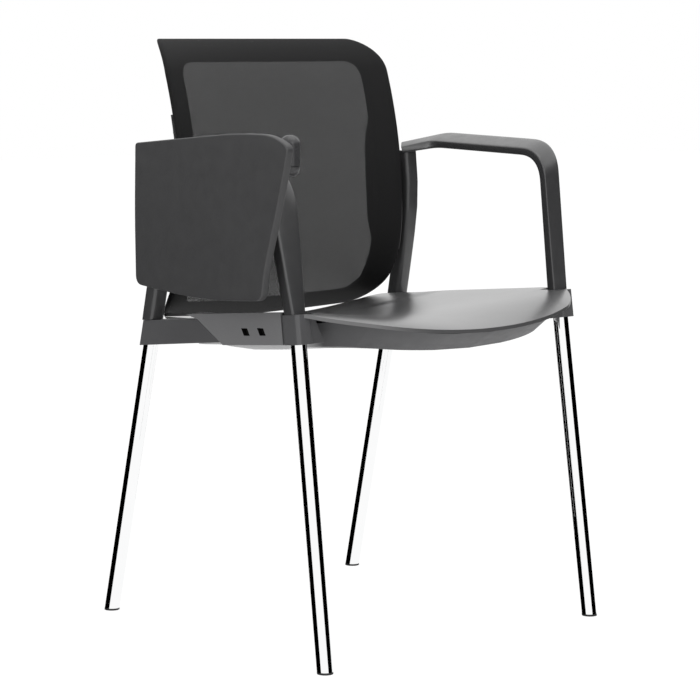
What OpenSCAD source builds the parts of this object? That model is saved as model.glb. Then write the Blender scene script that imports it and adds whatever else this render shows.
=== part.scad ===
// A stacking office armchair with four leaning tube legs, a moulded seat, a mesh back,
// two arms and a writing tablet that hangs outside the sitter's right arm.
// X points to the sitter's left, -Y to the front, Z up. The floor is at zero.

/* [Legs] */
// Outer diameter of the four leg tubes
leg_d = 22; // [20:0.5:23]
// Wall of the leg tubes
leg_wall = 1.5; // [1:0.1:2]
// Distance of each front foot from the middle plane
front_foot_x = 259.5; // [257:0.5:262]
// Distance of each rear foot from the middle plane
rear_foot_x = 240.5; // [238:0.5:243]
// Distance of the front feet ahead of the chair's middle
front_foot_y = 251; // [246:1:256]
// Distance of the rear feet behind the chair's middle
rear_foot_y = 251; // [246:1:256]
// Lean of the front legs in the side view, in degrees
front_lean = 7.7; // [7:0.1:8.4]
// Lean of the rear legs in the side view, in degrees
rear_lean = 13.2; // [12.5:0.1:13.9]
// Splay of all the legs in the front view, in degrees
leg_splay = 0.75; // [0.5:0.05:1]
// Height of the glide that shows below each tube
glide_h = 3; // [2.5:0.5:6]
// Length of the glide's plug inside the tube
glide_plug = 22; // [15:1:30]

/* [Seat] */
// Height of the seat's side rim at the chair's middle
rim_z = 464; // [458:1:470]
// Rise of the seat towards the front, in degrees
seat_tilt = 5.35; // [5:0.05:5.7]
// Thickness of the seat shell
shell_t = 5; // [4:0.5:6]
// Depth of the hollow of the seat
seat_dish = 19; // [14:1:21]
// Distance of the seat's rear edge behind the middle
seat_rear_y = 158; // [154:1:160]
// Distance of the seat's front corners ahead of the middle
seat_front_y = 234; // [230:1:238]
// Bulge of the front edge beyond its corners
front_bulge = 68; // [62:1:72]
// Drop of the front lip below the rim at its middle
lip_drop = 42; // [38:1:46]
// Drop of the front lip below the rim at its corners
lip_corner_drop = 1; // [0:0.5:3]
// Radius of the seat's front corners
seat_corner_r = 16; // [10:1:20]

/* [Side frame] */
// Depth of the side covers and sockets below the rim
side_depth = 44; // [42:0.5:47]
// Half width over the side covers at the rear legs
side_rear_x = 250; // [249:0.5:252]
// Half width over the side covers at the front legs
side_front_x = 267; // [266:0.5:269]
// Height of the side rails
rail_h = 20; // [16:1:22]
// Width of the side rails
rail_w = 15; // [12:0.5:16]
// Wall of the side rails and the cross tubes
rail_wall = 1.5; // [1:0.1:2]
// Diameter of the cross tubes
cross_d = 14; // [12:0.5:15]
// Length of the oblong slots in the side covers
slot_l = 15; // [10:0.5:18]
// Height of the oblong slots in the side covers
slot_h = 10; // [8:0.5:12]

/* [Arms] */
// Height of the outer edge of the armrests at the rear
arm_z = 702; // [694:1:708]
// Width of the armrests
arm_w = 46; // [42:1:50]
// Distance of the armrests' outer edge from the middle plane
arm_out_x = 285; // [282:1:287]
// Width of the posts at the foot
post_w = 26; // [24:0.5:27]
// Depth of the posts at the foot
post_d = 24; // [22:0.5:25]
// Depth of the arm's outer edge
arm_t = 22; // [20:0.5:24]
// Height of the arm's inner face
arm_in_t = 11.5; // [8:0.5:13]
// Slope drop of the armrest's top face
arm_fall = 13; // [9:0.5:15]
// Diameter of the steel spigots that hold the posts and uprights
spigot_d = 12; // [10:0.5:14]

/* [Back] */
// Height of the top of the back
back_top_z = 843; // [825:1:865]
// Height of the bottom of the back
back_low_z = 440; // [436:1:446]
// Half width of the back
back_x = 213; // [209:0.5:214]
// Setback of the middle of the back from its sides
back_bow = 42; // [34:1:46]
// Distance of the back's foremost side edge behind the chair's middle
back_y = 105; // [103:0.5:108]
// Height of the back's foremost line
lumbar_z = 600; // [590:1:610]
// Thickness of the back frame
back_t = 15; // [13:0.5:16]
// Width of the frame's side bands at the top
band_x = 39; // [34:1:44]
// Width of the frame's side bands at the bottom
band_low_x = 54; // [48:1:58]
// Height of the frame's top band
band_z = 34; // [30:1:40]
// Height of the frame's bottom band
band_low_z = 18; // [15:1:24]
// Thickness of the stretched mesh
mesh_t = 1.2; // [1:0.1:1.6]

/* [Tablet] */
// Thickness of the writing tablet
tablet_t = 12; // [10:0.5:13]
// Length of the writing tablet
tablet_l = 318; // [300:1:322]
// Height of the writing tablet as it hangs
tablet_h = 229; // [220:1:232]
// Gap between the armrest and the hanging tablet
tablet_gap = 9; // [8:0.5:14]
// Diameter of the swivel barrel
barrel_d = 28; // [27:0.5:30]
// Diameter of the swivel pin
pivot_d = 10; // [8:0.5:12]
// Diameter of the hinge knuckles
knuckle_d = 9; // [8:0.25:9.5]
// Diameter of the hinge pin
hinge_pin_d = 4; // [3:0.25:5]

/* [Hidden] */
$fn = 48;

// Colours as the chair shows them
dark = [0.2, 0.2, 0.21];
mid_grey = [0.27, 0.27, 0.28];
light_grey = [0.37, 0.37, 0.38];
mesh_grey = [0.12, 0.12, 0.13];
chrome = [0.82, 0.83, 0.85];
steel = [0.6, 0.61, 0.63];

// Clearances: a seam shows as a fine dark line, a fit slides, a running fit turns
seam = 0.3;
fit = 0.1;
running = 0.05;
overrun = 60;

// Where a leg's axis is at a height, on the left side
function leg_at(front, z) = [
    (front ? front_foot_x : rear_foot_x) - z * tan(leg_splay),
    front ? -front_foot_y + z * tan(front_lean) / cos(leg_splay)
          : rear_foot_y - z * tan(rear_lean) / cos(leg_splay),
    z
];
// Height of the seat's rim line and half width over the side covers
function rim(y) = rim_z - tan(seat_tilt) * y;
rear_leg_y = leg_at(false, rim_z)[1];
front_leg_y = leg_at(true, rim_z)[1];
function out_x(y) = side_front_x
    + (side_rear_x - side_front_x) * (y - front_leg_y) / (rear_leg_y - front_leg_y);

// Seat edge and the notches that clear the posts and uprights
cover_gap = 3;
cover_top = shell_t + cover_gap;
shell_inset = 5.5;
cover_lip = 4.5;
post_notch = 6;
seat_corner_in = 14.5;
seat_corner_x = out_x(-seat_front_y) - seat_corner_in;
post_at = leg_at(true, rim(front_leg_y));
post_inner_x = post_at[0] - post_w / 2;
post_rear_y = post_at[1] + post_d / 2 + post_notch;
post_front_y = post_at[1] - post_d / 2 - post_notch;
up_w = 26;
up_d = 26;
upright_at = leg_at(false, rim(rear_leg_y) - cover_top);
upright_front_y = upright_at[1] - up_d / 2 - post_notch;
upright_inner_x = upright_at[0] - up_w / 2;
// The front lip starts to fall here
fall_y = 120;
dish_share = 1.3;
lip_share = 0.9;
fall_share = 2.4;
corner_fall_share = 3.6;
edge_share = 2.5;
// The corners are cut back further, in a round line from here to the seat's side
corner_from_x = 180;
corner_cut = 29;
cut_share = 1.5;
function front_edge(x) = seat_front_y + front_bulge * (1 - pow(abs(x) / seat_corner_x, edge_share))
    - corner_cut * pow(max(0, abs(x) - corner_from_x) / (seat_corner_x - corner_from_x), cut_share);
// Behind the side covers the seat is narrower, to clear the uprights
narrow_from_y = 66;
wide_from_y = 42;
seat_rear_x = upright_inner_x - cover_gap;
function seat_half(y) =
    let (wide = out_x(min(y, wide_from_y)) - shell_inset)
    let (t = min(1, max(0, (y - wide_from_y) / (narrow_from_y - wide_from_y))))
    wide + (seat_rear_x - wide) * t;
function seat_top(x, y) =
    let (e = min(1, abs(x) / seat_half(y)))
    let (f = max(0, (-y - fall_y) / (front_edge(x) - fall_y)))
    let (k = pow(min(1, f), fall_share + corner_fall_share * e * e))
    let (lip = lip_corner_drop + (lip_drop - lip_corner_drop) * pow(1 - e * e, lip_share))
    rim(y) - (1 - k) * seat_dish * pow(1 - e * e, dish_share) - k * lip;

// Rails and cross tubes hang below the rim line
under_seat = 1.5;
rail_drop = rail_h / 2 + seat_dish + under_seat;
cross_drop = seat_dish + shell_t + under_seat + cross_d / 2;
cross_front_y = -110;
cross_rear_y = 80;
seat_screw_x = 150;
screw_d = 6;
screw_head_d = 11;
screw_head_h = 3;
boss_d = 14;
leg_top_drop = 12;

// Arm levels
arm_in_x = arm_out_x - arm_w;
arm_rise = 6;
arm_front_y = 153;
arm_rear_y = 75;
upright_drop = 34;
upright_top_z = arm_z - upright_drop;

// Back surface: the front face of the frame
back_mid_z = (back_top_z + back_low_z) / 2;
back_top_lean = 52;
back_low_sweep = 66;
lean_share = 1.9;
sweep_share = 3;
// The top edge rolls back
roll_r = 50;
roll_z = back_top_z - 0.9 * roll_r;
function roll(z) = z < roll_z ? 0 : roll_r - sqrt(roll_r * roll_r - pow(z - roll_z, 2));
function side_y(z) = z > lumbar_z
    ? back_y + back_top_lean * pow((z - lumbar_z) / (back_top_z - lumbar_z), lean_share) + roll(z)
    : back_y + back_low_sweep * pow((lumbar_z - z) / (lumbar_z - back_low_z), sweep_share);
function back_face(x, z) = side_y(z) + back_bow * (1 - pow(x / back_x, 2));

// Tablet and hinge places, on the left and mirrored where they are used
tablet_in_x = arm_out_x + tablet_gap;
tablet_out_x = tablet_in_x + tablet_t;
flip_gap = 0.75;
flip_x = tablet_in_x - knuckle_d / 2 - flip_gap;
flip_rise = 4;
flip_z = arm_z + flip_rise;
pivot_x = arm_out_x - arm_w / 2;
pivot_reach = 31;
pivot_y = -arm_front_y - pivot_reach;
boss_drop = 39;
boss_low_z = arm_z - boss_drop;
boss_h = 12;
washer_t = 1;
barrel_low_z = boss_low_z + boss_h + seam + washer_t;
barrel_top_z = flip_z;
cap_h = 11;
hinge_l = 46;
hinge_ahead = 12;
hinge_front_y = pivot_y - hinge_ahead;
fixed_knuckle_l = 13;
leaf_t = 2.5;
leaf_h = 30;
tablet_lift = 13;
tablet_top_z = flip_z + tablet_lift;
tablet_ahead = 34;
tablet_front_y = pivot_y - tablet_ahead;

// Middle of the whole chair's outline, which is put at the origin
mid_x = (arm_out_x - tablet_out_x) / 2;
mid_y = (rear_foot_y + leg_d / 2 / cos(rear_lean) - seat_front_y - front_bulge) / 2;

module placed() translate([-mid_x, -mid_y, 0]) children();
module left() placed() children();
module right() placed() mirror([1, 0, 0]) children();

// Solid through rings of points, each ring counter-clockwise about the way it runs
module loft(rings, closed = false) {
    m = len(rings);
    n = len(rings[0]);
    steps = closed ? m : m - 1;
    points = [for (r = rings) each r];
    first = [for (k = [0:2]) add([for (p = rings[0]) p[k]]) / n];
    last = [for (k = [0:2]) add([for (p = rings[m - 1]) p[k]]) / n];
    sides = [for (r = [0:steps - 1]) for (i = [0:n - 1])
        let (a = r * n + i, b = r * n + (i + 1) % n)
        let (c = ((r + 1) % m) * n + (i + 1) % n, d = ((r + 1) % m) * n + i)
        each [[a, c, b], [a, d, c]]];
    caps = [for (i = [0:n - 1])
        each [[m * n, i, (i + 1) % n],
              [m * n + 1, (m - 1) * n + (i + 1) % n, (m - 1) * n + i]]];
    polyhedron(points = concat(points, closed ? [] : [first, last]),
               faces = concat(sides, closed ? [] : caps), convexity = 8);
}
function add(v) = v * [for (i = v) 1];
function mix(a, b, t) = a + (b - a) * t;
function unit(v) = v / norm(v);
// Rounded corner between two straights, as a curve with its given reach
function bend(a, b, c, reach, n) =
    let (p = b + reach * unit(a - b), q = b + reach * unit(c - b))
    [for (i = [0:n]) let (t = i / n) (1 - t) * (1 - t) * p + 2 * t * (1 - t) * b + t * t * q];

// Sheet of even height between a top grid and the same grid lowered
module sheet(rows, t) {
    m = len(rows);
    n = len(rows[0]);
    h = m * n;
    top = [for (r = rows) each r];
    low = [for (p = top) [p[0], p[1], p[2] - t]];
    skin = [for (r = [0:m - 2]) for (c = [0:n - 2])
        let (a = r * n + c, b = a + 1, d = a + n, e = d + 1)
        each [[a, b, e], [a, e, d], [h + a, h + e, h + b], [h + a, h + d, h + e]]];
    ends = [for (c = [0:n - 2])
        let (a = c, b = c + 1, d = (m - 1) * n + c, e = d + 1)
        each [[a, h + a, h + b], [a, h + b, b], [d, e, h + e], [d, h + e, h + d]]];
    edges = [for (r = [0:m - 2])
        let (a = r * n, d = a + n, b = a + n - 1, e = b + n)
        each [[a, d, h + d], [a, h + d, h + a], [b, h + b, h + e], [b, h + e, e]]];
    polyhedron(points = concat(top, low), faces = concat(skin, ends, edges), convexity = 8);
}

// Frames: along a leg from its foot, and along the rim line with Z square to it
module on_leg(front)
    translate([front ? front_foot_x : rear_foot_x, front ? -front_foot_y : rear_foot_y, 0])
        rotate([front ? -front_lean : rear_lean, -leg_splay, 0])
            children();
module on_rim() translate([0, 0, rim_z]) rotate([-seat_tilt, 0, 0]) children();

// Height where each leg tube ends inside its socket
front_top_z = rim(front_leg_y) - leg_top_drop;
rear_top_z = rim(rear_leg_y) - cover_top - leg_top_drop;
function leg_length(front) =
    (front ? front_top_z : rear_top_z) / cos(leg_splay) / cos(front ? front_lean : rear_lean);

// Everything under a height, to cut a leg off level with the floor
module below(z) translate([0, -rim_z, z - overrun]) cube([rim_z, 2 * rim_z, overrun]);
module leg(front) {
    color(chrome) difference() {
        on_leg(front) difference() {
            cylinder(d = leg_d, h = leg_length(front));
            translate([0, 0, -overrun]) cylinder(d = leg_d - 2 * leg_wall, h = leg_length(front) + 2 * overrun);
        }
        below(glide_h);
    }
}

module glide(front) {
    color(dark) {
        intersection() {
            on_leg(front) translate([0, 0, -overrun]) cylinder(d = leg_d, h = 2 * overrun);
            translate([0, -rim_z, 0]) cube([rim_z, 2 * rim_z, glide_h]);
        }
        difference() {
            on_leg(front) cylinder(d = leg_d - 2 * leg_wall - 2 * fit, h = glide_h + glide_plug);
            below(glide_h / 2);
        }
    }
}

// Side rail between the two leg tubes, its ends shaped to the tubes
rail_front = leg_at(true, rim(front_leg_y) - rail_drop);
rail_rear = leg_at(false, rim(rear_leg_y) - rail_drop);
rail_run = rail_rear - rail_front;
rail_l = norm(rail_run);
module on_rail()
    translate(rail_front)
        rotate([asin(rail_run[2] / rail_l), 0, atan2(-rail_run[0], rail_run[1])])
            children();
module rail_block(gap, h_gap = 0)
    on_rail() translate([-rail_w / 2 - gap, 0, -rail_h / 2 - gap - h_gap])
        cube([rail_w + 2 * gap, rail_l, rail_h + 2 * gap + 2 * h_gap]);
module leg_bores(gap) {
    for (front = [true, false])
        on_leg(front) cylinder(d = leg_d + 2 * gap, h = leg_length(front) + spigot_up);
}
module side_rail() {
    color(steel) difference() {
        rail_block(0);
        on_rail() translate([rail_wall - rail_w / 2, -overrun, rail_wall - rail_h / 2])
            cube([rail_w - 2 * rail_wall, rail_l + 2 * overrun, rail_h - 2 * rail_wall]);
        leg_bores(fit);
    }
}

// Cross tube from rail to rail, drilled for the two seat screws
function rail_x(y) = mix(rail_front[0], rail_rear[0], (y - rail_front[1]) / rail_run[1]);
module cross_bore(y, gap)
    on_rim() translate([-rail_x(y), y, -cross_drop]) rotate([0, 90, 0])
        cylinder(d = cross_d + 2 * gap, h = 2 * rail_x(y));
module cross_tube(y) {
    color(steel) difference() {
        on_rim() translate([-side_front_x, y, -cross_drop]) rotate([0, 90, 0]) difference() {
            cylinder(d = cross_d, h = 2 * side_front_x);
            translate([0, 0, -overrun]) cylinder(d = cross_d - 2 * rail_wall, h = 2 * side_front_x + 2 * overrun);
        }
        for (s = [0, 1]) mirror([s, 0, 0]) {
            on_rail() translate([-rail_w / 2, 0, -overrun]) cube([overrun, rail_l, 2 * overrun]);
            on_rim() translate([seat_screw_x, y, -cross_drop - overrun])
                cylinder(d = screw_d + 2 * fit, h = 2 * overrun);
        }
    }
}

// Screw under a cross tube, up into a boss of the seat
module seat_screw(y) {
    length = cross_d + screw_l_in;
    on_rim() translate([seat_screw_x, y, -cross_drop - cross_d / 2]) {
        cylinder(d = screw_d - 2 * fit, h = length);
        translate([0, 0, -screw_head_h]) cylinder(d = screw_head_d, h = screw_head_h);
    }
}
screw_l_in = 10;
module seat_screws() color(steel) placed()
    for (y = [cross_front_y, cross_rear_y]) for (s = [0, 1]) mirror([s, 0, 0]) seat_screw(y);

// Front socket: a rounded sleeve round the leg with a wedge towards the apron
socket_r = 6;
socket_d = 34;
socket_in = 13;
wedge_top = 6;
socket_drop = 4;
wedge_share = 0.25;
wedge_in_top = 4;
wedge_in = 20;
module socket_front() {
    color(mid_grey) difference() {
        union() {
            intersection() {
                on_leg(true) linear_extrude(height = leg_length(true) + overrun)
                    rounded_box([-socket_in, -socket_d / 2], [side_front_x - post_at[0], socket_d / 2], socket_r);
                on_rim() translate([0, -2 * front_foot_y, -side_depth])
                    cube([2 * side_front_x, 4 * front_foot_y, side_depth - socket_drop]);
            }
            on_rim() translate([0, post_at[1] - leg_d / 2, 0]) rotate([90, 0, 0])
                linear_extrude(height = wedge_share * leg_d) polygon([
                    [post_at[0], -wedge_top], [post_inner_x - wedge_in_top, -wedge_top],
                    [post_inner_x - wedge_in, -side_depth], [post_at[0], -side_depth]
                ]);
        }
        on_leg(true) cylinder(d = leg_d + 2 * fit, h = leg_length(true) + fit);
        on_leg(true) cylinder(d = spigot_d + 2 * fit, h = leg_length(true) + overrun);
        rail_block(2 * fit);
    }
}
// Rectangle from corner a to corner b with round corners
module rounded_box(a, b, r) {
    translate([a[0] + r, a[1]]) square([b[0] - a[0] - 2 * r, b[1] - a[1]]);
    translate([a[0], a[1] + r]) square([b[0] - a[0], b[1] - a[1] - 2 * r]);
    for (x = [a[0] + r, b[0] - r]) for (y = [a[1] + r, b[1] - r]) translate([x, y]) circle(r = r);
}

// Seam between the rear socket and the side cover, from the rim line down
seam_top_y = 24;
seam_low_y = -33;
socket_rear_back = 15;
socket_rise = 4;
socket_wall = 3;
socket_inner_x = leg_at(false, rim(rear_leg_y) - side_depth)[0] - leg_d / 2 - socket_wall;
module side_slab(points)
    intersection() {
        on_rim() rotate([90, 0, 90]) linear_extrude(height = 2 * side_front_x) polygon(points);
        linear_extrude(height = 2 * rim_z) polygon([
            [0, 2 * rear_foot_y], [out_x(2 * rear_foot_y), 2 * rear_foot_y],
            [out_x(-2 * front_foot_y), -2 * front_foot_y], [0, -2 * front_foot_y]
        ]);
    }
module socket_rear() {
    low_y = leg_at(false, rim(rear_leg_y) - side_depth)[1];
    color(mid_grey) difference() {
        side_slab([
            [rear_leg_y + socket_rear_back, -cover_top], [seam_top_y, -cover_top],
            [mix(seam_low_y, seam_top_y, socket_rise / (side_depth - cover_top)), socket_rise - side_depth],
            [low_y + socket_rear_back, -side_depth]
        ]);
        translate([socket_inner_x - side_rear_x, -2 * front_foot_y, 0])
            cube([side_rear_x, 2 * (front_foot_y + rear_foot_y), 2 * rim_z]);
        on_leg(false) cylinder(d = leg_d + 2 * fit, h = leg_length(false) + fit);
        on_leg(false) cylinder(d = spigot_d + 2 * fit, h = leg_length(false) + overrun);
        rail_block(2 * fit);
        cross_bore(cross_rear_y, fit);
    }
}

// Side cover with its two oblong slots
slot_ys = [-88, -124];
slot_lean = 4;
slot_drop = 26;
cover_in = 16;
tip_y = 50;
module side_cover() {
    front_y = post_at[1] + socket_d / 2;
    lean_y = side_depth * tan(front_lean - seat_tilt);
    color(light_grey) difference() {
        side_slab([
            [tip_y, -seam], [front_y + seam, -seam],
            [front_y + seam - lean_y, -side_depth], [seam_low_y - seam, -side_depth],
            [seam_top_y - seam, -cover_top + seam]
        ]);
        // Inside the thin lip that rises to the rim line, the cover ends below the seat
        intersection() {
            on_rim() translate([0, -2 * front_foot_y, -cover_top]) cube([side_front_x, 4 * front_foot_y, overrun]);
            linear_extrude(height = 2 * rim_z) polygon([
                [0, 2 * rear_foot_y], [out_x(2 * rear_foot_y) - cover_lip, 2 * rear_foot_y],
                [out_x(-2 * front_foot_y) - cover_lip, -2 * front_foot_y], [0, -2 * front_foot_y]
            ]);
        }
        on_rail() translate([-overrun, -overrun, -rail_h / 2 - seam])
            cube([overrun + rail_w / 2 + seam, rail_l + 2 * overrun, overrun]);
        translate([post_inner_x - cover_in - side_rear_x, -2 * front_foot_y, 0])
            cube([side_rear_x, 4 * front_foot_y, 2 * rim_z]);
        cross_bore(cross_front_y, seam);
        on_rim() for (y = slot_ys) translate([0, y, -slot_drop]) rotate([90, 0, 90])
            linear_extrude(height = 2 * side_front_x) polygon([
                [-slot_l / 2 + slot_lean, slot_h / 2], [-slot_l / 2, -slot_h / 2],
                [slot_l / 2 - slot_lean, -slot_h / 2], [slot_l / 2, slot_h / 2]
            ]);
    }
}

// Under-cover: a tray below the seat with a bulging front apron
tray_wall = 2.5;
tray_gap = 1.5;
tray_x = post_inner_x - wedge_in - tray_gap;
tray_rear_y = 120;
tray_top_drop = 29;
tray_belly = 2.5;
// The tray's edge hangs below the side covers, further in front than behind this stretch
tray_hang = [2, 9.5];
tray_step = [20, -40];
tray_flat = 30;
apron_depth = 22.5;
apron_end_rise = 31.5;
apron_back = 3;
// The apron slants back from the seat's edge to its lower edge
apron_slant = 41;
tray_n = 64;
tray_corner_share = 0.38;
function tray_at(i, inset, slant) =
    let (c = cos(360 * i / tray_n), s = sin(360 * i / tray_n))
    let (x = (tray_x - inset) * sign(c) * pow(abs(c), tray_corner_share))
    let (front = front_edge(x) - apron_back - inset - slant, rear = tray_rear_y - inset)
    let (mid = (rear - seat_front_y) / 2, half = s < 0 ? front + mid : rear - mid)
    [x, mid + half * sign(s) * pow(abs(s), tray_corner_share)];
// How much a point belongs to the apron: 1 at the front edge, 0 past the posts
function apron_part(p) = min(1, max(0, (-p[1] - fall_y) / (seat_front_y - fall_y)));
function tray_low(p) =
    let (k = apron_part(p), e = p[0] / seat_corner_x)
    let (t = min(1, max(0, (p[1] - tray_step[0]) / (tray_step[1] - tray_step[0]))))
    let (side = rim(p[1]) - side_depth - mix(tray_hang[0], tray_hang[1], t * t * (3 - 2 * t)))
    let (front = rim(p[1]) - lip_drop - shell_t - apron_depth + apron_end_rise * e * e)
    mix(side, front, k);
function tray_high(p) =
    mix(rim(p[1]) - tray_top_drop, seat_top(p[0], p[1]) - shell_t - tray_gap, apron_part(p));
function tray_ring(inset, drop) =
    [for (i = [0:tray_n - 1]) let (p = tray_at(i, inset, apron_slant))
        [p[0], p[1], tray_low(p) - drop * (1 - apron_part(p))]];
function tray_rim(inset) =
    [for (i = [0:tray_n - 1]) let (p = tray_at(i, inset, 0)) [p[0], p[1], tray_high(p)]];
function tray_middle(share, drop) =
    [for (i = [0:tray_n - 1]) let (p = tray_at(i, tray_flat, apron_slant))
        let (q = [p[0] * share, mix((tray_rear_y - seat_front_y) / 2, p[1], share)])
        [q[0], q[1], tray_low(q) - drop * (1 - apron_part(q))]];
function raised(ring) = [for (p = ring) p + [0, 0, tray_wall]];
module seat_cover() {
    centre_share = 0.4;
    color(light_grey) placed() difference() {
        tray_shape(centre_share);
        for (y = [cross_front_y, cross_rear_y]) cross_bore(y, seam);
    }
}
module tray_shape(centre_share) {
    loft([
        tray_middle(centre_share, tray_belly), tray_ring(tray_flat, tray_belly),
        tray_ring(0, 0), tray_rim(0), tray_rim(2 * tray_wall),
        raised(tray_ring(tray_wall, 0)), raised(tray_ring(tray_flat, tray_belly)),
        raised(tray_middle(centre_share, tray_belly))
    ]);
}

// Moulded seat shell with four screw bosses underneath
seat_cols = 22;
function span(a, b, n) = [for (i = [0:n]) mix(a, b, i / n)];
seat_rows = concat(
    [for (y = span(seat_rear_y, narrow_from_y, 5)) [y, seat_half(y)]],
    [for (y = span(wide_from_y, post_rear_y, 10)) [y, seat_half(y)]],
    [for (y = span(post_rear_y - seam, post_front_y, 3)) [y, post_inner_x - shell_inset]]
);
lip_shares = [0.02, 0.2, 0.4, 0.58, 0.74, 0.86, 0.94, 0.985, 1];
module seat_shell() {
    straight = [for (r = seat_rows) [for (c = [0:seat_cols])
        let (x = mix(-r[1], r[1], c / seat_cols))
        [x, r[0], seat_top(x, r[0])]]];
    lip = [for (s = lip_shares) [for (c = [0:seat_cols])
        let (w = seat_corner_x - seat_corner_r * (1 - sqrt(1 - s * s)))
        let (x = mix(-w, w, c / seat_cols), y = mix(post_front_y, -front_edge(x), s))
        [x, y, seat_top(x, y)]]];
    color(mid_grey) placed() difference() {
        union() {
            sheet(concat(straight, lip), shell_t);
            for (y = [cross_front_y, cross_rear_y]) for (s = [0, 1]) mirror([s, 0, 0])
                on_rim() translate([seat_screw_x, y, -cross_drop + cross_d / 2 + seam])
                    cylinder(d = boss_d, h = boss_h_at(y));
        }
        for (y = [cross_front_y, cross_rear_y]) for (s = [0, 1]) mirror([s, 0, 0])
            on_rim() translate([seat_screw_x, y, -cross_drop])
                cylinder(d = screw_d, h = cross_d / 2 + screw_l_in + seam);
    }
}
// A boss ends within the shell's thickness
function boss_h_at(y) =
    cross_drop - cross_d / 2 - seam - (rim(y) - seat_top(seat_screw_x, y)) - shell_t / 2;

// Steel spigots: a plug in the leg's top and a pin up into the arm or upright
spigot_up = 38;
spigot_plug = 20;
module spigot(front) on_leg(front) {
    top = leg_length(front);
    translate([0, 0, top - spigot_plug]) cylinder(d = leg_d - 2 * leg_wall - fit, h = spigot_plug);
    cylinder_from = top - spigot_plug;
    translate([0, 0, cylinder_from]) cylinder(d = spigot_d, h = spigot_plug + spigot_up);
}
module spigots() color(steel) placed()
    for (front = [true, false]) for (s = [0, 1]) mirror([s, 0, 0]) spigot(front);
module spigot_bore(front) on_leg(front) {
    cylinder(d = spigot_d + 2 * fit, h = leg_length(front) + spigot_up + seam);
}

// Arm: post, bend, armrest and the turn in to the upright, lofted between four edges:
// the inner low edge, the inner crease, the outer top edge and the outer low edge
post_foot_shares = [[-0.48, 0.41], [-0.5, -0.22], [0.52, -0.38], [0.48, 0.6]];
arm_low_z = arm_z - arm_rise;
arm_drops = [arm_fall + arm_in_t, arm_fall, 0, arm_t];
// Steps of each edge outwards and back from the armrest's front and rear corners
front_steps = [[1, -3], [0, -15], [2, 0], [-8, 19]];
rear_steps = [[1, -15], [0, -3], [2, 3], [-8, -9]];
// Steps of each edge outwards, back and up from the upright's foot and top
end_steps = [[-19, -40, 1], [-20, -37, 10], [2, -15, 18], [6, -16, 0.3]];
arm_edges = [for (k = [0:3]) let (x = k < 2 ? arm_in_x : arm_out_x)
    [[x + front_steps[k][0], -arm_front_y + front_steps[k][1], arm_low_z - arm_drops[k]],
     [x + rear_steps[k][0], arm_rear_y + rear_steps[k][1], arm_z - arm_drops[k]],
     [upright_at[0], upright_at[1], upright_top_z] + end_steps[k]]];
// Reach of the front bend along each edge; the arm below the swivel is cut away further
front_reaches = [36, 44, 48, 30];
tablet_reaches = [66, 82, 48, 30];
rear_reach = 14;
bend_n = 9;
turn_n = 4;
foot_lift = socket_drop - seam;
mid_share = 0.35;
function arm_edge(k, reach) =
    let (s = post_foot_shares[k], e = arm_edges[k])
    let (x = post_at[0] + s[0] * post_w, y = post_at[1] + s[1] * post_d)
    let (foot = [x, y, rim(y) - foot_lift])
    concat([foot, mix(foot, e[0], mid_share)], bend(foot, e[0], e[1], reach, bend_n),
           bend(e[0], e[1], e[2], rear_reach, turn_n), [e[2]]);
round_share = 0.16;
bulge_share = 0.06;
low_share = 0.6;
inner_round_share = 0.08;
module arm_loft(reaches) {
    edges = [for (k = [0:3]) arm_edge(k, reaches[k])];
    loft([for (i = [0:len(edges[0]) - 1])
        let (a = edges[0][i], b = edges[1][i], c = edges[2][i], d = edges[3][i])
        let (m = (a + b + c + d) / 4)
        [mix(a, b, inner_round_share), b, mix(b, c, 0.5) + bulge_share * (mix(b, c, 0.5) - m),
         mix(c, b, round_share), mix(mix(c, b, round_share / 4), d, round_share / 3),
         mix(c, d, 1.5 * round_share), mix(c, d, low_share) + bulge_share * (mix(c, d, low_share) - m),
         mix(d, c, round_share), mix(d, a, round_share), mix(a, d, 0.4)]]);
}
module arm(tablet_side) {
    color(dark) difference() {
        union() {
            arm_loft(tablet_side ? tablet_reaches : front_reaches);
            if (tablet_side) pivot_boss();
        }
        spigot_bore(true);
        if (tablet_side) translate([pivot_x, pivot_y, boss_low_z + boss_wall])
            cylinder(d = pivot_d + 2 * fit, h = overrun);
    }
}
// Boss for the swivel pin: the round foot of the knob, joined to the arm by a web
boss_wall = 3;
boss_shares = [[0, 0], [0.4, 0], [0.72, 0.16], [0.92, 0.5], [1, 1], [0, 1]];
web_w = 16;
web_in = 6;
module pivot_boss() {
    translate([pivot_x, pivot_y, boss_low_z]) rotate_extrude() polygon([
        for (p = boss_shares) [p[0] * barrel_d / 2, p[1] * boss_h]
    ]);
    translate([pivot_x - web_w / 2, pivot_y, boss_low_z + boss_wall])
        cube([web_w, pivot_reach + web_in, boss_h - boss_wall]);
}

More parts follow.
